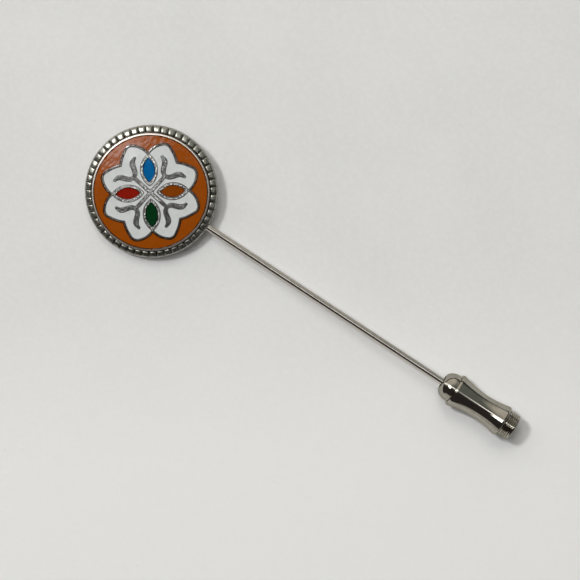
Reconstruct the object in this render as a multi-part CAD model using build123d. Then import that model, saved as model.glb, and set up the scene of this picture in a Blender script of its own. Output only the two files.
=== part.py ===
from build123d import *
import os
from math import cos, radians, sin, sqrt, tan

# Round enamelled hat pin with a turned slide-on clutch, in millimetres.
# The head's face looks along +Z and its flat back lies on z = 0, centred on the origin.
# The needle lies along +X under the head, and the clutch covers its point.

# setting: flat flange with a shallow channel for the soldered needle
FLANGE_R = 9.87
FLANGE_T = 0.9
FLANGE_EDGE = 0.18
CHANNEL_W = 1.9
CHANNEL_D = 0.15
CHANNEL_START = -8.6

# ring of square beads round the emblem
BEAD_COUNT = 52
BEAD_RING_IN = 8.83
BEAD_RING_OUT = 9.78
BEAD_RING_T = 0.2
BEAD_MID_R = 9.27
BEAD_RADIAL = 0.94
BEAD_ALONG = 1.0
BEAD_TOP = 1.74
BEAD_CORNER = 0.28
BEAD_DOME = 0.26

# struck emblem plate with a shallow dome: cell walls stand a little above the enamel
PLATE_R = 8.74
PLATE_TOP = 2.6
PLATE_EDGE = 0.1
DOME_R = 90
CELL_FLOOR = 1.6
ENAMEL_TOP = 2.56
GROUND_R = 8.5
FLOWER_TURN = 36.5

# flower drawn with its four axes on x and y; every wall is WALL wide
WALL = 0.16
LOBE = ((0, 5.7), (1.06, 6.62), (2.45, 7.0), (3.05, 6.75), (3.4, 6.25), (3.86, 5.3), (4.17, 4.17))
MARQUISE_NEAR = 1.42
MARQUISE_FAR = 5.2
MARQUISE_HALF = 0.94
BORDER_NEAR = 1.0
BORDER_FAR = 5.66
BORDER_HALF = 1.23
ARM_W = 0.38
ARM_REACH = 3.5
LEAF_OUTSIDE = ((2.45, 2.45), (2.35, 2.95), (2.65, 3.95), (2.17, 5.18))
LEAF_TIP = (2.03, 5.29)
LEAF_INSIDE = ((1.91, 5.12), (2.05, 4.05), (1.83, 2.95), (2.08, 2.38))

# needle: straight wire on a thin film of solder in the channel
NEEDLE_R = 0.55
SOLDER_FILM = 0.04
NEEDLE_Z = CHANNEL_D - SOLDER_FILM - NEEDLE_R
NEEDLE_START = -8.3
NEEDLE_TIP = 60.4
NEEDLE_TAPER = 4.0
NEEDLE_POINT_R = 0.04
NEEDLE_END_CHAMFER = 0.12
SOLDER_END = 8.4
SOLDER_GAP = 0.02

# clutch, turned about the needle; lengths along it are counted from its front face
CLUTCH_X = 51.9
NOSE_FACE_R = 1.34
NOSE_R = 2.19
NOSE_LENGTH = 2.0
NEEDLE_HOLE_R = 0.62
MOUTH_R = 1.12
MOUTH_DEPTH = 0.45
SPIGOT_R = 1.85
SPIGOT_END = 3.9
BARREL_START = 2.08
BARREL_FRONT_R = 2.6
BARREL_WAIST_R = 1.95
BARREL_WAIST_AT = 6.7
BARREL_REAR_R = 2.42
BARREL_END = 10.95
COLLAR_BORE_R = 1.6
COLLAR_STOP = 5.42
SPRING_BORE_R = 1.42
BUSHING_R = 1.8
BUSHING_START = 9.9
BUSHING_END = 10.88
KNOB_START = 11.0
KNOB_END = 12.7
KNOB_R = 2.02
KNOB_RINGS = 4
KNOB_RING_DEPTH = 0.09

# ball lock: three balls in a cage, wedged on the needle by a conical seat
BALL_R = 0.4
BALL_AT = 2.9
BALL_GAP = 0.005
BALL_TRACK_R = NEEDLE_R + BALL_R + BALL_GAP
BALL_HOLE_R = 0.42
BALL_TURNS = (90, 210, 330)
SEAT_ANGLE = 12
SEAT_START = 1.9
CAGE_START = 2.15
CAGE_R = 1.08
COLLAR_START = 3.9
COLLAR_END = 4.4
COLLAR_R = 1.52
STEM_R = 0.95
STEM_BORE_END = 9.0
STEM_END = 12.2
BUSHING_BORE_R = 0.98
SPRING_MEAN_R = 1.25
SPRING_WIRE_R = 0.1
SPRING_TURNS = 9
END_PLAY = 0.03


def seat_radius(along):
    """Radius of the conical seat at a distance along the clutch; it just clears the balls."""
    slope = radians(SEAT_ANGLE)
    touch_along = BALL_AT - BALL_R * sin(slope)
    touch_r = BALL_TRACK_R + BALL_R * cos(slope) + BALL_GAP
    return touch_r + (along - touch_along) * tan(slope)


def turned(outline, start=0.0):
    """Body turned about the needle from a closed outline of (along, radius)."""
    face = Plane.XZ * make_face(outline)
    return Pos(start, 0, NEEDLE_Z) * revolve(face, Axis.X)


def quarters(shape):
    """One shape repeated on the flower's four quarters."""
    return [Rot(0, 0, 90 * turn) * shape for turn in range(4)]


def flower():
    """Middle line of the flower's outer wall: four petals of two lobes each."""
    left = [ThreePointArc(*LOBE[first : first + 3]) for first in (0, 2, 4)]
    right = [mirror(edge, about=Plane((0, 0, 0), z_dir=(1, -1, 0))) for edge in left]
    edges = [Rot(0, 0, 90 * turn) * edge for turn in range(4) for edge in left + right]
    return make_face(edges)


def marquise(near, far, half_width):
    """Pointed oval on the +y axis, from near to far, where two arcs meet."""
    half_length = (far - near) / 2
    arc_r = (half_length**2 + half_width**2) / (2 * half_width)
    shift = arc_r - half_width
    middle = (near + far) / 2
    return Pos(shift, middle) * Circle(arc_r) & Pos(-shift, middle) * Circle(arc_r)


def leaf():
    """Curved leaf stroke that grows from the end of a diagonal arm."""
    outside = Spline(*LEAF_OUTSIDE)
    tip = ThreePointArc(LEAF_OUTSIDE[-1], LEAF_TIP, LEAF_INSIDE[0])
    inside = Spline(*LEAF_INSIDE)
    root = Line(LEAF_INSIDE[-1], LEAF_OUTSIDE[0])
    return make_face([outside, tip, inside, root])


def arms():
    """Crossed diagonal arms with a pair of leaves at each end."""
    pair = leaf() + mirror(leaf(), about=Plane((0, 0, 0), z_dir=(1, -1, 0)))
    cross = Rot(0, 0, 45) * (Rectangle(2 * ARM_REACH, ARM_W) + Rectangle(ARM_W, 2 * ARM_REACH))
    return cross + quarters(pair)


def petal_cell():
    """White area inside the flower, round the arms and the marquise borders."""
    inner = offset(flower(), amount=-WALL / 2, kind=Kind.TANGENT)
    borders = quarters(marquise(BORDER_NEAR, BORDER_FAR, BORDER_HALF))
    return inner - borders - arms()


def ground_cell():
    """Area between the flower and the plate's rim."""
    return Circle(GROUND_R) - offset(flower(), amount=WALL / 2, kind=Kind.TANGENT)


def marquise_cell(quarter):
    """Marquise of one quarter: 0 is north, then turning anticlockwise."""
    return Rot(0, 0, 90 * quarter) * marquise(MARQUISE_NEAR, MARQUISE_FAR, MARQUISE_HALF)


def domed(radius, top, edge):
    """Disc on the flange with a shallow dome, top high at its centre, and a rounded edge."""

    def surface(at):
        return top - DOME_R + sqrt(DOME_R**2 - at**2)

    flat_end = radius - edge
    outline = [
        Polyline((0, top), (0, FLANGE_T), (radius, FLANGE_T), (radius, surface(flat_end) - edge)),
        RadiusArc((radius, surface(flat_end) - edge), (flat_end, surface(flat_end)), -edge),
        ThreePointArc((flat_end, surface(flat_end)), (radius / 2, surface(radius / 2)), (0, top)),
    ]
    return revolve(Plane.XZ * make_face(outline), Axis.Z)


def shaft(cell):
    """A cell's area raised from the cell floor through the plate, turned to its place on the head."""
    height = PLATE_TOP + 1 - CELL_FLOOR
    return Pos(0, 0, CELL_FLOOR) * Rot(0, 0, FLOWER_TURN) * extrude(cell, height)


def filled(cell):
    """Enamel that fills a cell to just below the tops of its walls."""
    return shaft(cell) & domed(PLATE_R, ENAMEL_TOP, PLATE_EDGE)


def groove(half_width, end, height):
    """Bar along +X across z = 0 with a round inner end, for the channel and what fills it."""
    middle = CHANNEL_START + CHANNEL_W / 2
    bar = Pos((middle + end) / 2, 0, 0) * Box(end - middle, 2 * half_width, 2 * height)
    return bar + Pos(middle, 0, 0) * Cylinder(half_width, 2 * height)


def setting_base():
    disc = Pos(0, 0, FLANGE_T / 2) * Cylinder(FLANGE_R, FLANGE_T)
    rims = disc.edges().filter_by(GeomType.CIRCLE)
    disc = fillet(rims, FLANGE_EDGE)
    return disc - groove(CHANNEL_W / 2, FLANGE_R + 1, CHANNEL_D)


def bead():
    height = BEAD_TOP - FLANGE_T
    block = Pos(BEAD_MID_R, 0, FLANGE_T + height / 2) * Box(BEAD_RADIAL, BEAD_ALONG, height)
    block = fillet(block.edges().filter_by(Axis.Z), BEAD_CORNER)
    return fillet(block.faces().sort_by(Axis.Z)[-1].edges(), BEAD_DOME)


def beaded_ring():
    band = Pos(0, 0, FLANGE_T) * extrude(Circle(BEAD_RING_OUT) - Circle(BEAD_RING_IN), BEAD_RING_T)
    step = 360 / BEAD_COUNT
    one = bead()
    return band + [Rot(0, 0, step * place) * one for place in range(BEAD_COUNT)]


def emblem_plate():
    disc = domed(PLATE_R, PLATE_TOP, PLATE_EDGE)
    disc = disc - shaft(ground_cell()) - shaft(petal_cell())
    for quarter in range(4):
        disc = disc - shaft(marquise_cell(quarter))
    return disc


def solder_joint():
    """Solder that fills the channel and climbs both sides of the needle."""
    half = CHANNEL_W / 2 - SOLDER_GAP
    side = NEEDLE_R - 0.01
    crest = NEEDLE_Z + 0.05
    outline = [
        Polyline((-half, 0), (-half, CHANNEL_D), (half, CHANNEL_D), (half, 0)),
        ThreePointArc((half, 0), (0.68, -0.13), (side, crest)),
        Line((side, crest), (-side, crest)),
        ThreePointArc((-side, crest), (-0.68, -0.13), (-half, 0)),
    ]
    bar = Pos(CHANNEL_START, 0, 0) * extrude(Plane.YZ * make_face(outline), 2 * FLANGE_R)
    wire = Pos(0, 0, NEEDLE_Z) * Rot(0, 90, 0) * Cylinder(NEEDLE_R, 4 * FLANGE_R)
    return (bar & groove(half, SOLDER_END, FLANGE_T)) - wire


def needle():
    shank_end = NEEDLE_TIP - NEEDLE_TAPER
    belly = (shank_end + 0.5 * NEEDLE_TAPER, 0.66 * NEEDLE_R)
    outline = [
        Polyline(
            (NEEDLE_TIP, NEEDLE_POINT_R),
            (NEEDLE_TIP, 0),
            (NEEDLE_START, 0),
            (NEEDLE_START, NEEDLE_R - NEEDLE_END_CHAMFER),
            (NEEDLE_START + NEEDLE_END_CHAMFER, NEEDLE_R),
            (shank_end, NEEDLE_R),
        ),
        ThreePointArc((shank_end, NEEDLE_R), belly, (NEEDLE_TIP, NEEDLE_POINT_R)),
    ]
    return turned(outline)


def clutch_nose():
    outline = [
        Polyline((MOUTH_DEPTH, NEEDLE_HOLE_R), (0, MOUTH_R), (0, NOSE_FACE_R)),
        ThreePointArc((0, NOSE_FACE_R), (0.62, 1.93), (1.6, NOSE_R)),
        Polyline(
            (1.6, NOSE_R),
            (NOSE_LENGTH, NOSE_R),
            (NOSE_LENGTH, SPIGOT_R),
            (SPIGOT_END, SPIGOT_R),
            (SPIGOT_END, seat_radius(SPIGOT_END)),
            (SEAT_START, seat_radius(SEAT_START)),
            (SEAT_START, NEEDLE_HOLE_R),
            (MOUTH_DEPTH, NEEDLE_HOLE_R),
        ),
    ]
    return turned(outline, CLUTCH_X)


def clutch_barrel():
    lip = BARREL_START + 0.3
    shoulder = BARREL_END - 0.45
    outline = [
        Polyline(
            (BARREL_START, SPIGOT_R), (BARREL_START, BARREL_FRONT_R - 0.12), (lip, BARREL_FRONT_R)
        ),
        ThreePointArc((lip, BARREL_FRONT_R), (BARREL_WAIST_AT, BARREL_WAIST_R), (shoulder, BARREL_REAR_R)),
        ThreePointArc(
            (shoulder, BARREL_REAR_R), (BARREL_END - 0.1, 2.3), (BARREL_END, BUSHING_R + 0.25)
        ),
        Polyline(
            (BARREL_END, BUSHING_R + 0.25),
            (BARREL_END, BUSHING_R),
            (BUSHING_START, BUSHING_R),
            (BUSHING_START, SPRING_BORE_R),
            (COLLAR_STOP, SPRING_BORE_R),
            (COLLAR_STOP, COLLAR_BORE_R),
            (SPIGOT_END, COLLAR_BORE_R),
            (SPIGOT_END, SPIGOT_R),
            (BARREL_START, SPIGOT_R),
        ),
    ]
    return turned(outline, CLUTCH_X)


def rear_bushing():
    outline = Polyline(
        (BUSHING_START, BUSHING_BORE_R),
        (BUSHING_START, BUSHING_R),
        (BUSHING_END, BUSHING_R),
        (BUSHING_END, BUSHING_BORE_R),
        close=True,
    )
    return turned([outline], CLUTCH_X)


def ball_cage():
    """Cage, collar and stem in one turned piece, drilled for the needle and the balls."""
    outline = Polyline(
        (CAGE_START, NEEDLE_HOLE_R),
        (CAGE_START, CAGE_R),
        (COLLAR_START, CAGE_R),
        (COLLAR_START, COLLAR_R),
        (COLLAR_END, COLLAR_R),
        (COLLAR_END, STEM_R),
        (STEM_END, STEM_R),
        (STEM_END, 0),
        (STEM_BORE_END + 0.35, 0),
        (STEM_BORE_END, NEEDLE_HOLE_R),
        close=True,
    )
    cage = turned([outline], CLUTCH_X)
    for turn in BALL_TURNS:
        drill = Rot(turn - 90, 0, 0) * Pos(0, 0, CAGE_R) * Cylinder(BALL_HOLE_R, 2 * CAGE_R)
        cage = cage - Pos(CLUTCH_X + BALL_AT, 0, NEEDLE_Z) * drill
    return cage


def clutch_ball(turn):
    across = BALL_TRACK_R * cos(radians(turn))
    up = BALL_TRACK_R * sin(radians(turn))
    return Pos(CLUTCH_X + BALL_AT, across, NEEDLE_Z + up) * Sphere(BALL_R)


def clutch_spring():
    room = BUSHING_START - COLLAR_END - 2 * END_PLAY - 2 * SPRING_WIRE_R
    path = Helix(pitch=room / SPRING_TURNS, height=room, radius=SPRING_MEAN_R)
    start = Plane(origin=path @ 0, z_dir=path % 0)
    coil = sweep(start * Circle(SPRING_WIRE_R), path=path)
    at = CLUTCH_X + COLLAR_END + END_PLAY + SPRING_WIRE_R
    return Pos(at, 0, NEEDLE_Z) * Rot(0, 90, 0) * coil


def pull_knob():
    pitch = 0.3
    first = KNOB_START + 0.22
    ringed = [(KNOB_START, KNOB_R - 0.06), (KNOB_START + 0.06, KNOB_R)]
    for ring in range(KNOB_RINGS):
        middle = first + pitch * ring + pitch / 2
        ringed.append((middle - 0.1, KNOB_R))
        ringed.append((middle, KNOB_R - KNOB_RING_DEPTH))
        ringed.append((middle + 0.1, KNOB_R))
    rim = KNOB_END - 0.2
    outline = [
        Polyline((STEM_END, 0), (STEM_END, STEM_R), (KNOB_START, STEM_R), *ringed, (rim, KNOB_R)),
        ThreePointArc((rim, KNOB_R), (KNOB_END - 0.05, KNOB_R - 0.06), (KNOB_END, KNOB_R - 0.25)),
        Polyline((KNOB_END, KNOB_R - 0.25), (KNOB_END, 0), (STEM_END, 0)),
    ]
    return turned(outline, CLUTCH_X)


def save(name, solid):
    solid.label = name
    export_step(solid, f"parts/{name}.step")


os.makedirs("parts", exist_ok=True)
save("setting_base", setting_base())
save("beaded_ring", beaded_ring())
save("emblem_plate", emblem_plate())
save("ground_enamel", filled(ground_cell()))
save("petal_enamel", filled(petal_cell()))
for quarter, side in enumerate(("north", "west", "south", "east")):
    save(f"marquise_enamel_{side}", filled(marquise_cell(quarter)))
save("solder_joint", solder_joint())
save("needle", needle())
save("clutch_nose", clutch_nose())
save("clutch_barrel", clutch_barrel())
save("rear_bushing", rear_bushing())
save("ball_cage", ball_cage())
for count, turn in enumerate(BALL_TURNS, 1):
    save(f"clutch_ball_{count}", clutch_ball(turn))
save("clutch_spring", clutch_spring())
save("pull_knob", pull_knob())
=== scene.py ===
import math
import random

import bmesh
import bpy
from mathutils import Matrix, Vector, geometry, kdtree
from mathutils.bvhtree import BVHTree


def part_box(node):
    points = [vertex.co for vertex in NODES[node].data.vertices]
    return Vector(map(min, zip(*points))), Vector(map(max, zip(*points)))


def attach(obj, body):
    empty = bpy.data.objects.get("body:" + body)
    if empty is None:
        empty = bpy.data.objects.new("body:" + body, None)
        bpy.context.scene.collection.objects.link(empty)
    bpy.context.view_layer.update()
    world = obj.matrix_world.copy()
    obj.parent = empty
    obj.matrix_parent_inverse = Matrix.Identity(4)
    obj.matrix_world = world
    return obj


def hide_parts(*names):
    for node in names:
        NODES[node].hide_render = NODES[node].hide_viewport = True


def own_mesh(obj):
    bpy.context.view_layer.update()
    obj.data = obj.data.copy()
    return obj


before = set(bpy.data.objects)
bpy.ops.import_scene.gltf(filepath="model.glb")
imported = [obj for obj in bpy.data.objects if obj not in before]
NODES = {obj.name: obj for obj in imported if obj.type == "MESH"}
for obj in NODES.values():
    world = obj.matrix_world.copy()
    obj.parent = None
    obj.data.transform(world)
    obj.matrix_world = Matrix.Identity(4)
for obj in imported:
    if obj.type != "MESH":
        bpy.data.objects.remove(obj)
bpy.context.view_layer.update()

MM = 0.001

# ---------------------------------------------------------------- the frame the pin lies in
NEEDLE_LOW, NEEDLE_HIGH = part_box("needle")
FLANGE_LOW, FLANGE_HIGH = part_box("setting_base")
BARREL_LOW, BARREL_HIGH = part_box("clutch_barrel")
NEEDLE_R = (NEEDLE_HIGH.z - NEEDLE_LOW.z) / 2
NEEDLE_Z = (NEEDLE_HIGH.z + NEEDLE_LOW.z) / 2
BARREL_R = (BARREL_HIGH.z - BARREL_LOW.z) / 2
FLANGE_R = FLANGE_HIGH.x
RIM_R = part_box("emblem_plate")[1].x
GROUND_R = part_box("ground_enamel")[1].x
BEADS = 52

# the table touches the needle's inner end, the clutch's front flare and the flange's low edge
LEAN = 1.008
FLARE_IN = 0.4 * MM
EDGE_IN = 0.1 * MM
TABLE_X = -LEAN * (BARREL_R - NEEDLE_R) / (BARREL_LOW.x + FLARE_IN - NEEDLE_LOW.x)
TABLE_C = NEEDLE_Z - LEAN * NEEDLE_R - TABLE_X * NEEDLE_LOW.x
TABLE_Y = -math.sqrt(((FLANGE_LOW.z - TABLE_C) / (FLANGE_R - EDGE_IN)) ** 2 - TABLE_X**2)
TABLE_UP = Vector((-TABLE_X, -TABLE_Y, 1)).normalized()

# the photograph's right and up on the table
SCENE_TURN = math.radians(123.52)
PICTURE_UP = Vector((math.cos(SCENE_TURN), math.sin(SCENE_TURN), 0))
PICTURE_UP = (PICTURE_UP - TABLE_UP * PICTURE_UP.dot(TABLE_UP)).normalized()
PICTURE_RIGHT = PICTURE_UP.cross(TABLE_UP).normalized()


def table_height(x, y):
    return TABLE_X * x + TABLE_Y * y + TABLE_C


def towards(bearing, from_vertical):
    """Direction at a bearing in the picture (0 right, 90 up) and an angle from the vertical."""
    b, v = math.radians(bearing), math.radians(from_vertical)
    flat = PICTURE_RIGHT * math.cos(b) + PICTURE_UP * math.sin(b)
    return (flat * math.sin(v) + TABLE_UP * math.cos(v)).normalized()


# ---------------------------------------------------------------- node materials
class Paint:
    """One node material, built with short calls. Lengths in its textures are in millimetres."""

    def __init__(self, name):
        self.material = bpy.data.materials.new(name)
        self.material.use_nodes = True
        self.tree = self.material.node_tree
        self.shader = self.tree.nodes["Principled BSDF"]
        place = self.tree.nodes.new("ShaderNodeTexCoord")
        scaled = self.tree.nodes.new("ShaderNodeVectorMath")
        scaled.operation = "SCALE"
        scaled.inputs["Scale"].default_value = 1 / MM
        self.tree.links.new(place.outputs["Object"], scaled.inputs[0])
        self.place = scaled.outputs[0]
        self._axes = None

    def put(self, socket, value):
        if isinstance(value, bpy.types.NodeSocket):
            self.tree.links.new(value, socket)
        else:
            socket.default_value = value

    def axes(self):
        """x, y and z of the shaded point, in millimetres."""
        if self._axes is None:
            split = self.tree.nodes.new("ShaderNodeSeparateXYZ")
            self.put(split.inputs[0], self.place)
            self._axes = split.outputs[0], split.outputs[1], split.outputs[2]
        return self._axes

    def math(self, operation, *values, clamp=False):
        node = self.tree.nodes.new("ShaderNodeMath")
        node.operation = operation
        node.use_clamp = clamp
        for socket, value in zip(node.inputs, values):
            self.put(socket, value)
        return node.outputs[0]

    def mixed(self, one, amount, other, more):
        """one times amount, plus other times more."""
        return self.math("ADD", self.math("MULTIPLY", one, amount), self.math("MULTIPLY", other, more))

    def distance(self, one, other):
        return self.math("SQRT", self.mixed(one, one, other, other))

    def step(self, value, low, high):
        """0 below low, 1 above high, smooth between; high may be the lower one."""
        node = self.tree.nodes.new("ShaderNodeMapRange")
        node.interpolation_type = "SMOOTHSTEP"
        for name, number in (("Value", value), ("From Min", low), ("From Max", high)):
            self.put(node.inputs[name], number)
        return node.outputs[0]

    def blend(self, amount, low, high):
        """Number between low and high."""
        node = self.tree.nodes.new("ShaderNodeMapRange")
        self.put(node.inputs["Value"], amount)
        self.put(node.inputs["To Min"], low)
        self.put(node.inputs["To Max"], high)
        return node.outputs[0]

    def colour(self, amount, low, high):
        node = self.tree.nodes.new("ShaderNodeMix")
        node.data_type = "RGBA"
        self.put(node.inputs[0], amount)
        for socket, value in ((node.inputs[6], low), (node.inputs[7], high)):
            self.put(socket, (*value, 1) if isinstance(value, tuple) else value)
        return node.outputs[2]

    def noise(self, size, detail=2.0, roughness=0.5, stretch=(1, 1, 1)):
        """Noise with blobs of about that size, in millimetres, before the stretch."""
        scale = self.tree.nodes.new("ShaderNodeVectorMath")
        scale.operation = "MULTIPLY"
        self.put(scale.inputs[0], self.place)
        scale.inputs[1].default_value = [1 / s for s in stretch]
        node = self.tree.nodes.new("ShaderNodeTexNoise")
        self.put(node.inputs["Vector"], scale.outputs[0])
        node.inputs["Scale"].default_value = 1 / size
        node.inputs["Detail"].default_value = detail
        node.inputs["Roughness"].default_value = roughness
        return node.outputs["Fac"]

    def specks(self, size):
        """Distance to the nearest of scattered points about that far apart."""
        node = self.tree.nodes.new("ShaderNodeTexVoronoi")
        self.put(node.inputs["Vector"], self.place)
        node.inputs["Scale"].default_value = 1 / size
        return node.outputs["Distance"]

    def attribute(self, name):
        node = self.tree.nodes.new("ShaderNodeAttribute")
        node.attribute_name = name
        return node.outputs["Fac"]

    def bump(self, height, depth, under=None):
        """Bump whose height of 1 stands that many millimetres above 0."""
        node = self.tree.nodes.new("ShaderNodeBump")
        node.inputs["Distance"].default_value = depth * MM
        self.put(node.inputs["Height"], height)
        if under is not None:
            self.put(node.inputs["Normal"], under)
        return node.outputs[0]

    def finish(self, **sockets):
        for name, value in sockets.items():
            value = (*value, 1) if isinstance(value, tuple) and len(value) == 3 else value
            self.put(self.shader.inputs[name.replace("_", " ")], value)
        return self.material


EDGE_TINT = (0.56, 0.54, 0.47)
# colour of the painted shade inside the nose's mouth
MOUTH_SHADE = (0.03, 0.028, 0.025)
MOUTH_FADE = 0.06
MOUTH_ROUGH = 0.5
FLOWER_TURN = math.radians(36.5)
# where the emblem's finishes change, in millimetres: from its middle, and from the marquises' long axes
FLOWER_END = (5.9, 5.6)
LEAF_START = (1.55, 1.75)
BORDER_END = (1.5, 1.3)
RIM_FADE = 0.1


def polished(name, colour, dark, gloss, grain, lines=None, bore=None):
    """Plated or polished metal with faint stains, fine scratches and turning or drawing lines.

    Nearer to the needle's axis than bore, in millimetres, it is dull and darkened by painted shade, as in a
    deep mouth.
    """
    paint = Paint(name)
    stain = paint.step(paint.noise(1.1, 3, 0.6), 0.35, 0.75)
    fine = paint.noise(0.16, 4, 0.65)
    rough = paint.blend(fine, gloss * 0.7, gloss * 1.5)
    bumped = paint.bump(fine, grain)
    if lines is not None:
        bumped = paint.bump(paint.noise(0.07, 3, 0.6, stretch=lines), grain, bumped)
    tint = paint.colour(stain, colour, dark)
    if bore is not None:
        _, y, z = paint.axes()
        height = paint.math("SUBTRACT", z, NEEDLE_Z / MM)
        deep = paint.step(paint.distance(y, height), bore, bore - MOUTH_FADE)
        # painted shade: the tint darkens inside the nose's mouth, near the needle's axis
        tint = paint.colour(deep, tint, MOUTH_SHADE)
        rough = paint.blend(deep, rough, MOUTH_ROUGH)
    return paint.finish(
        Base_Color=tint, Metallic=1.0, Roughness=rough, Normal=bumped, Specular_Tint=EDGE_TINT
    )


def bead_metal():
    """Beads with a thin bright skin over dull metal, darkened between them and along their foot, partly
    oxide in the hollows and partly painted shade.
    """
    paint = Paint("beaded_metal")
    x, y, z = paint.axes()
    step = 2 * math.pi / BEADS
    turn = paint.math("ARCTAN2", y, x)
    phase = paint.math("PINGPONG", paint.math("ADD", turn, 2 * math.pi), step / 2)
    gap = paint.step(phase, step * 0.445, step * 0.49)
    low = paint.step(z, 1.4, 1.12)
    # painted shade with oxide: darker in the gaps between the beads and low along their foot
    oxide_and_shade_mask = paint.math("MAXIMUM", gap, low)
    oxide_and_shade = paint.math("MULTIPLY", oxide_and_shade_mask, paint.blend(paint.noise(0.3, 3), 0.6, 1.0), clamp=True)
    worn = paint.step(paint.noise(0.5, 3, 0.6), 0.35, 0.7)
    face = paint.colour(worn, (0.40, 0.40, 0.355), (0.23, 0.23, 0.195))
    tint = paint.colour(oxide_and_shade, face, (0.04, 0.038, 0.032))
    fine = paint.noise(0.14, 4, 0.65)
    rough = paint.blend(fine, 0.24, 0.38)
    bumped = paint.bump(paint.noise(0.4, 3, 0.6), 0.03, paint.bump(fine, 0.008))
    return paint.finish(
        Base_Color=tint,
        Metallic=1.0,
        Roughness=rough,
        Normal=bumped,
        Coat_Weight=0.6,
        Coat_Roughness=0.15,
    )


def struck_metal():
    """Sandblasted walls: dark leaves, paler marquise borders, and a polished rim outside."""
    paint = Paint("struck_metal")
    x, y, _ = paint.axes()
    along = paint.mixed(x, math.cos(FLOWER_TURN), y, math.sin(FLOWER_TURN))
    across = paint.mixed(y, math.cos(FLOWER_TURN), x, -math.sin(FLOWER_TURN))
    near = paint.math("MINIMUM", paint.math("ABSOLUTE", along), paint.math("ABSOLUTE", across))
    radius = paint.distance(x, y)
    rim = paint.step(radius, GROUND_R / MM - RIM_FADE, GROUND_R / MM)
    inside = paint.step(radius, *FLOWER_END)
    leaf = paint.math("MULTIPLY", paint.step(near, *LEAF_START), inside)
    border = paint.math("MULTIPLY", paint.step(near, *BORDER_END), inside)
    grain = paint.noise(0.20, 3, 0.75)
    pits = paint.step(paint.specks(0.26), 0.15, 0.5)
    dull = paint.math("MULTIPLY", paint.step(grain, 0.38, 0.62), pits)
    pale = paint.colour(border, (0.22, 0.19, 0.165), (0.66, 0.66, 0.63))
    pale = paint.colour(leaf, pale, (0.32, 0.32, 0.31))
    dark = paint.colour(border, (0.025, 0.020, 0.017), (0.06, 0.06, 0.057))
    dark = paint.colour(leaf, dark, (0.02, 0.02, 0.02))
    tint = paint.colour(rim, paint.colour(dull, dark, pale), (0.56, 0.50, 0.45))
    rough = paint.blend(rim, 0.25, 0.32)
    coarse = paint.bump(paint.math("MULTIPLY", grain, paint.blend(rim, 1.0, 0.1)), 0.06)
    return paint.finish(Base_Color=tint, Metallic=1.0, Roughness=rough, Normal=coarse)


def enamel(name, colour, deep, line, dull=0.09, wave=0.008):
    """Glassy enamel: a dark line against the walls, faint clouding, and stoned, wavy gloss."""
    paint = Paint(name)
    cloud = paint.noise(0.9, 4, 0.6)
    tint = paint.colour(paint.step(cloud, 0.3, 0.8), colour, tuple(c * 0.9 for c in colour))
    tint = paint.colour(paint.step(paint.attribute("wall"), line, line + 0.5), tint, deep)
    scratch = paint.noise(0.05, 3, 0.7, stretch=(1, 9, 1))
    smear = paint.noise(0.45, 5, 0.7, stretch=(1.0, 2.6, 1))
    rough = paint.blend(paint.step(smear, 0.42, 0.60), 0.05, dull)
    waves = paint.bump(paint.noise(0.55, 1.5, 0.5, stretch=(1.0, 1.6, 1)), wave, paint.bump(smear, 0.008))
    bumped = paint.bump(scratch, 0.0008, waves)
    return paint.finish(Base_Color=tint, Roughness=rough, Normal=bumped, IOR=1.5)


def dress(node, material):
    """Puts one material on a CAD node, with smooth shading over its curved faces."""
    data = NODES[node].data
    data.materials.clear()
    data.materials.append(material)
    data.shade_smooth()


# ---------------------------------------------------------------- enamel in its cells
CELL_STEP = 0.08 * MM
OUTLINE_STEP = 0.02 * MM
CLIMB = 0.02 * MM
CLIMB_REACH = 0.05 * MM
WALL_REACH = 0.125 * MM
CLEAR_OF_WALL = 0.35 * CELL_STEP
ABOVE = 10 * MM
CELL_CREASE = math.radians(50)


def flat(point):
    return Vector((point.x, point.y, 0))


def top_of(node):
    """Top faces of a CAD enamel solid, as a tree to look up heights in, and their outline."""
    solid = bmesh.new()
    solid.from_mesh(NODES[node].data)
    bmesh.ops.remove_doubles(solid, verts=solid.verts, dist=0.0005 * MM)
    solid.normal_update()
    bmesh.ops.delete(solid, geom=[f for f in solid.faces if f.normal.z < 0.9], context="FACES")
    outline = [
        (e.verts[0].co.copy(), e.verts[1].co.copy()) for e in solid.edges if len(e.link_faces) == 1
    ]
    tree = BVHTree.FromBMesh(solid)
    solid.free()
    return tree, outline


def outline_tree(outline):
    """Points every OUTLINE_STEP along the outline, to look up the distance to the cell's wall."""
    points = []
    for start, end in outline:
        parts = 1 + int((end - start).length / OUTLINE_STEP)
        points += [flat(start.lerp(end, part / parts)) for part in range(parts + 1)]
    tree = kdtree.KDTree(len(points))
    for number, point in enumerate(points):
        tree.insert(point, number)
    tree.balance()
    return tree


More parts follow.
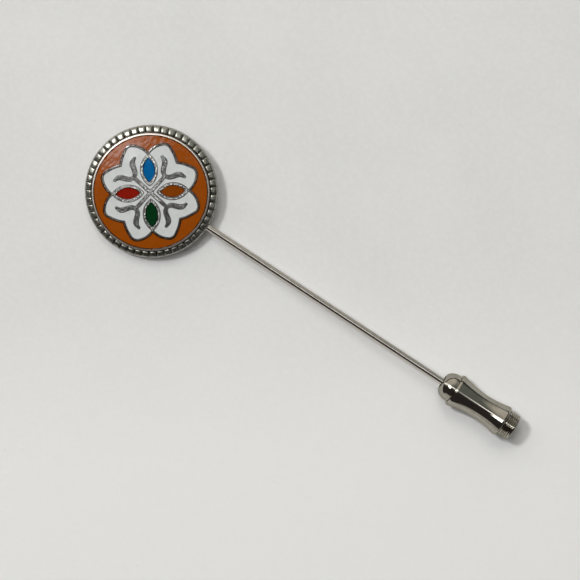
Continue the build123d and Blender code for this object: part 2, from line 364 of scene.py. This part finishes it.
def cell_faces(tree, outline, walls):
    """Points and triangles that fill the outline, on a close triangular grid."""
    places, numbers, edges = [], {}, []
    for ends in outline:
        pair = []
        for end in ends:
            key = (round(end.x / MM, 4), round(end.y / MM, 4))
            if key not in numbers:
                numbers[key] = len(places)
                places.append(end.to_2d())
            pair.append(numbers[key])
        edges.append(pair)

    def is_inside(x, y):
        return tree.ray_cast(Vector((x, y, ABOVE)), Vector((0, 0, -1)))[0] is not None

    low_x, high_x = min(p.x for p in places), max(p.x for p in places)
    low_y, high_y = min(p.y for p in places), max(p.y for p in places)
    row_step = CELL_STEP * math.sqrt(3) / 2
    for row in range(int((high_y - low_y) / row_step) + 2):
        y = low_y + row * row_step
        for column in range(int((high_x - low_x) / CELL_STEP) + 2):
            x = low_x + (column + 0.5 * (row % 2)) * CELL_STEP
            if is_inside(x, y) and walls.find(Vector((x, y, 0)))[2] > CLEAR_OF_WALL:
                places.append(Vector((x, y)))
    points, _, faces, _, _, _ = geometry.delaunay_2d_cdt(places, edges, [], 0, 1e-9)
    kept = []
    for face in faces:
        middle = sum((points[i] for i in face), Vector((0, 0))) / len(face)
        if is_inside(middle.x, middle.y):
            kept.append(face)
    return points, kept


def pour(node, name, material):
    """Enamel that climbs its cell's walls a little, over the same floor as its CAD solid."""
    tree, outline = top_of(node)
    walls = outline_tree(outline)
    points, faces = cell_faces(tree, outline, walls)
    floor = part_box(node)[0].z
    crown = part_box(node)[1].z
    surface = bmesh.new()
    near = surface.verts.layers.float.new("wall")
    made = []
    for point in points:
        gap = walls.find(Vector((point.x, point.y, 0)))[2]
        height = tree.find_nearest(Vector((point.x, point.y, crown)))[0].z
        vert = surface.verts.new((point.x, point.y, height + CLIMB * math.exp(-gap / CLIMB_REACH)))
        vert[near] = math.exp(-((gap / WALL_REACH) ** 2))
        made.append(vert)
    for face in faces:
        surface.faces.new([made[i] for i in face])
    bmesh.ops.delete(surface, geom=[v for v in surface.verts if not v.link_faces], context="VERTS")
    bmesh.ops.recalc_face_normals(surface, faces=surface.faces)
    if sum(f.normal.z for f in surface.faces) < 0:
        bmesh.ops.reverse_faces(surface, faces=surface.faces)
    for face in surface.faces:
        face.smooth = True
    rim = [e for e in surface.edges if len(e.link_faces) == 1]
    for part in bmesh.ops.extrude_edge_only(surface, edges=rim)["geom"]:
        if isinstance(part, bmesh.types.BMVert):
            part.co.z = floor
    data = bpy.data.meshes.new(name)
    surface.to_mesh(data)
    surface.free()
    data.materials.append(material)
    data.set_sharp_from_angle(angle=CELL_CREASE)
    return place_piece(name, data, "head", node)


def place_piece(name, data, body, *nodes):
    piece = bpy.data.objects.new(name, data)
    bpy.context.scene.collection.objects.link(piece)
    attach(piece, body)
    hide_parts(*nodes)
    return piece


ORANGE = enamel("orange_enamel", (0.285, 0.060, 0.0012), (0.012, 0.004, 0.002), 0.05, dull=0.18, wave=0.034)
WHITE = enamel("white_enamel", (0.622, 0.645, 0.643), (0.035, 0.033, 0.03), 0.2)
BLUE = enamel("blue_enamel", (0.0006, 0.105, 0.30), (0.001, 0.01, 0.03), 0.1)
RED = enamel("red_enamel", (0.225, 0.008, 0.003), (0.02, 0.001, 0.001), 0.1)
GREEN = enamel("green_enamel", (0.0006, 0.033, 0.008), (0.001, 0.004, 0.002), 0.1)
AMBER = enamel("amber_enamel", (0.215, 0.044, 0.0012), (0.02, 0.004, 0.001), 0.1)
pours = (
    ("ground_enamel", ORANGE, "orange_enamel"),
    ("petal_enamel", WHITE, "white_enamel"),
    ("marquise_enamel_north", BLUE, "blue_enamel"),
    ("marquise_enamel_west", RED, "red_enamel"),
    ("marquise_enamel_south", GREEN, "green_enamel"),
    ("marquise_enamel_east", AMBER, "orange_enamel"),
)
for node, material, finish in pours:
    piece = pour(node, f"{node}_fill", material)

# ---------------------------------------------------------------- ring of beads
RING_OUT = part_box("beaded_ring")[1].x
RING_IN = RIM_R + 0.03 * MM
BEAD_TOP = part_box("beaded_ring")[1].z
BEAD_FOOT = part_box("beaded_ring")[0].z
GAP_FLOOR = BEAD_FOOT + 0.2 * MM
BEAD_LEAN = -0.13 * MM
BEAD_CREASE = math.radians(60)
JITTER = 0.03
CUSHION_EDGES = (0.985, 0.965)
CUSHION_POWERS = (4.0, 5.0)
CUSHION_SHOULDER = 0.38
ACROSS = (0, 0.2, 0.4, 0.58, 0.72, 0.82, 0.89, 0.94, 0.975, 1.0)


def both_ways(values):
    return [-v for v in reversed(values[1:])] + list(values)


def cushion(across, along):
    """1 on the middle of a square cushion, falling steeply to 0 at its edges."""
    a = max(0.0, 1 - abs(across / CUSHION_EDGES[0]) ** CUSHION_POWERS[0])
    b = max(0.0, 1 - abs(along / CUSHION_EDGES[1]) ** CUSHION_POWERS[1])
    return (a * b) ** CUSHION_SHOULDER


def bead_ring(name, material):
    """Cast ring of cushion-shaped beads, each a little different in height and tilt."""
    chance = random.Random(7)
    radial = both_ways(ACROSS)
    middle, half = (RING_OUT + RING_IN) / 2, (RING_OUT - RING_IN) / 2
    step = 2 * math.pi / BEADS
    ring = bmesh.new()
    columns = []
    for bead in range(BEADS):
        lift = chance.uniform(-JITTER, 0.0) * MM
        lean_out = BEAD_LEAN + chance.uniform(-JITTER, JITTER) * MM
        lean_on = chance.uniform(-JITTER, JITTER) * MM
        shift = chance.uniform(-JITTER, JITTER)
        for along in both_ways(ACROSS)[:-1]:
            turn = step * (bead + 0.5 * along)
            column = []
            for across in radial:
                shape = cushion(across, along + shift * (1 - along * along))
                tilt = lift - abs(lean_out) - abs(lean_on) + lean_out * across + lean_on * along
                r = middle + half * across
                z = GAP_FLOOR + (BEAD_TOP + tilt - GAP_FLOOR) * shape
                column.append(ring.verts.new((r * math.cos(turn), r * math.sin(turn), z)))
            for r in (RING_OUT, RING_IN):
                column.append(ring.verts.new((r * math.cos(turn), r * math.sin(turn), BEAD_FOOT)))
            columns.append(column)
    count = len(columns[0])
    for place, column in enumerate(columns):
        following = columns[(place + 1) % len(columns)]
        for row in range(count):
            after = (row + 1) % count
            ring.faces.new((column[row], column[after], following[after], following[row]))
    bmesh.ops.recalc_face_normals(ring, faces=ring.faces)
    for face in ring.faces:
        face.smooth = True
    data = bpy.data.meshes.new(name)
    ring.to_mesh(data)
    ring.free()
    data.materials.append(material)
    data.set_sharp_from_angle(angle=BEAD_CREASE)
    return place_piece(name, data, "head", "beaded_ring")


bead_ring("bead_ring", bead_metal())

# ---------------------------------------------------------------- metal on the CAD nodes
NICKEL = (0.43, 0.41, 0.365)
NICKEL_STAIN = (0.37, 0.35, 0.305)
TURNED = (1, 40, 40)
DRAWN = (60, 1, 1)
NOSE_BORE = 1.13
nickel = polished("nickel_plate", NICKEL, NICKEL_STAIN, 0.07, 0.002, lines=TURNED)
nose = polished("nickel_nose", NICKEL, NICKEL_STAIN, 0.07, 0.002, lines=TURNED, bore=NOSE_BORE)
wire = polished("polished_wire", (0.66, 0.63, 0.585), (0.58, 0.555, 0.51), 0.07, 0.0012, lines=DRAWN)
setting = polished("setting_plate", (0.52, 0.51, 0.48), (0.44, 0.43, 0.40), 0.17, 0.004, lines=TURNED)
silver_solder = polished("silver_solder", (0.60, 0.60, 0.58), (0.30, 0.30, 0.28), 0.30, 0.03)
brass = polished("turned_brass", (0.75, 0.55, 0.25), (0.60, 0.42, 0.18), 0.18, 0.004, lines=(1, 30, 30))
steel = polished("ball_steel", (0.60, 0.60, 0.60), (0.55, 0.55, 0.55), 0.08, 0.002)
dress("setting_base", setting)
dress("emblem_plate", struck_metal())
dress("solder_joint", silver_solder)
dress("needle", wire)
dress("clutch_nose", nose)
for node in ("clutch_barrel", "pull_knob"):
    dress(node, nickel)
for node in ("rear_bushing", "ball_cage"):
    dress(node, brass)
for node in ("clutch_ball_1", "clutch_ball_2", "clutch_ball_3", "clutch_spring"):
    dress(node, steel)

# a copy of the spring's coil, on the clutch's body
coil = place_piece("clutch_spring_coil", NODES["clutch_spring"].data.copy(), "clutch", "clutch_spring")
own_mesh(coil)


# ---------------------------------------------------------------- floor, light and camera
def paper():
    """Matt off-white paper with a faint tooth and small flecks, and painted light that makes it paler
    towards the picture's foot.
    """
    paint = Paint("pale_table")
    x, y, _ = paint.axes()
    lower = paint.mixed(x, -PICTURE_UP.x, y, -PICTURE_UP.y)
    fibre = paint.noise(0.8, 5, 0.7)
    broad = paint.noise(16.0, 2, 0.5)
    tint = paint.colour(paint.step(broad, 0.3, 0.7), (0.692, 0.695, 0.687), (0.716, 0.719, 0.711))
    # painted light: the paper grows paler towards the picture's foot
    tint = paint.colour(paint.step(lower, 5, 45), tint, (0.800, 0.803, 0.795))
    tooth = paint.math("MULTIPLY", paint.step(fibre, 0.40, 0.66), 0.16)
    tint = paint.colour(tooth, tint, (0.85, 0.853, 0.845))
    flecks = paint.step(paint.specks(3.2), 0.10, 0.03)
    bumped = paint.bump(fibre, 0.026, paint.bump(paint.noise(3.0, 2), 0.05))
    bumped = paint.bump(flecks, 0.03, bumped)
    return paint.finish(Base_Color=tint, Roughness=0.8, Normal=bumped)


floor_data = bpy.data.meshes.new("table")
SIDE = 5.0
plan = ((-SIDE, -SIDE), (SIDE, -SIDE), (SIDE, SIDE), (-SIDE, SIDE))
corners = [(x, y, table_height(x, y)) for x, y in plan]
floor_data.from_pydata(corners, [], [(0, 1, 2, 3)])
floor_data.materials.append(paper())
table_top = bpy.data.objects.new("table", floor_data)
bpy.context.scene.collection.objects.link(table_top)

MIDDLE = (0.0254, -0.0012)
CENTRE = Vector((*MIDDLE, table_height(*MIDDLE)))


def lamp(name, bearing, from_vertical, distance, size, power, glossy=True):
    data = bpy.data.lights.new(name, "AREA")
    data.shape = "DISK"
    data.size = size
    data.energy = power
    lamp_object = bpy.data.objects.new(name, data)
    way = towards(bearing, from_vertical)
    lamp_object.location = CENTRE + way * distance
    lamp_object.rotation_mode = "QUATERNION"
    lamp_object.rotation_quaternion = way.to_track_quat("Z", "Y")
    lamp_object.visible_glossy = glossy
    bpy.context.scene.collection.objects.link(lamp_object)


lamp("key_light", bearing=144, from_vertical=32, distance=1.1, size=0.13, power=4.3)
lamp("fill_light", bearing=95, from_vertical=35, distance=0.9, size=0.4, power=1.5, glossy=False)

world = bpy.data.worlds.new("studio")
bpy.context.scene.world = world
world.use_nodes = True
tree = world.node_tree
background = tree.nodes["Background"]
direction = tree.nodes.new("ShaderNodeTexCoord").outputs["Generated"]


def cosine_to(way):
    dot = tree.nodes.new("ShaderNodeVectorMath")
    dot.operation = "DOT_PRODUCT"
    tree.links.new(direction, dot.inputs[0])
    dot.inputs[1].default_value = way
    return dot.outputs["Value"]


def eased(value, low, high):
    """0 at low, 1 at high, smooth between; high may be the lower one."""
    ease = tree.nodes.new("ShaderNodeMapRange")
    ease.interpolation_type = "SMOOTHSTEP"
    tree.links.new(value, ease.inputs["Value"])
    ease.inputs["From Min"].default_value = low
    ease.inputs["From Max"].default_value = high
    return ease.outputs[0]


def world_math(operation, *values):
    node = tree.nodes.new("ShaderNodeMath")
    node.operation = operation
    for socket, value in zip(node.inputs, values):
        tree.links.new(value, socket)
    return node.outputs[0]


def lit_from(way, low, high):
    """1 in directions nearer to way than high, 0 beyond low, as cosines."""
    return eased(cosine_to(way), low, high)


def world_mix(amount, low, high):
    node = tree.nodes.new("ShaderNodeMix")
    node.data_type = "RGBA"
    tree.links.new(amount, node.inputs[0])
    for socket, value in ((node.inputs[6], low), (node.inputs[7], high)):
        if isinstance(value, tuple):
            socket.default_value = (*value, 1)
        else:
            tree.links.new(value, socket)
    return node.outputs[2]


def strip_glow():
    """Long lamp overhead along the needle, fading towards its point."""
    off = world_math("ABSOLUTE", cosine_to((0, math.cos(STRIP_TILT), -math.sin(STRIP_TILT))))
    return world_math("MULTIPLY", eased(off, *STRIP_WIDTH), lit_from((-1, 0, 0), *STRIP_LENGTH))


DARK = (0.042, 0.036, 0.034)
GREY = (0.19, 0.205, 0.185)
WINDOW = (0.80, 0.75, 0.67)
PALE = (0.62, 0.59, 0.54)
HALO = (5.0, 5.0, 5.0)
STRIP = (2.5, 2.5, 2.5)
STRIP_TILT = math.radians(12)
STRIP_WIDTH = (0.085, 0.035)
STRIP_LENGTH = (-0.9, 0.2)
sky = world_mix(lit_from(towards(35, 42), 0.70, 0.92), DARK, GREY)
sky = world_mix(lit_from(towards(104, 68), 0.55, 0.85), sky, WINDOW)
sky = world_mix(lit_from(TABLE_UP, 0.20, 0.10), sky, DARK)
sky = world_mix(lit_from(towards(236, 90), 0.87, 0.95), sky, PALE)
sky = world_mix(lit_from(towards(157, 21.5), 0.975, 0.991), sky, HALO)
sky = world_mix(strip_glow(), sky, STRIP)
tree.links.new(sky, background.inputs["Color"])
background.inputs["Strength"].default_value = 1.0

# the photograph's viewing angle
CAMERA_AT = (0.008789, 0.046559, 0.418083)
CAMERA_AIM = Vector((0.025351, -0.001246, -0.001947))
CAMERA_UP = Vector((-0.54847, 0.82810, -0.11588))
CAMERA_LENS = 175.48
camera_data = bpy.data.cameras.new("camera")
camera_data.lens = CAMERA_LENS
camera_data.sensor_width = 36
camera_data.clip_start = 0.02
camera_data.clip_end = 5
camera = bpy.data.objects.new("camera", camera_data)
bpy.context.scene.collection.objects.link(camera)
camera.location = CAMERA_AT
back = (camera.location - CAMERA_AIM).normalized()
right = CAMERA_UP.cross(back).normalized()
camera.rotation_mode = "QUATERNION"
camera.rotation_quaternion = Matrix((right, back.cross(right), back)).transposed().to_quaternion()
bpy.context.scene.camera = camera
bpy.context.scene.view_settings.view_transform = "Standard"
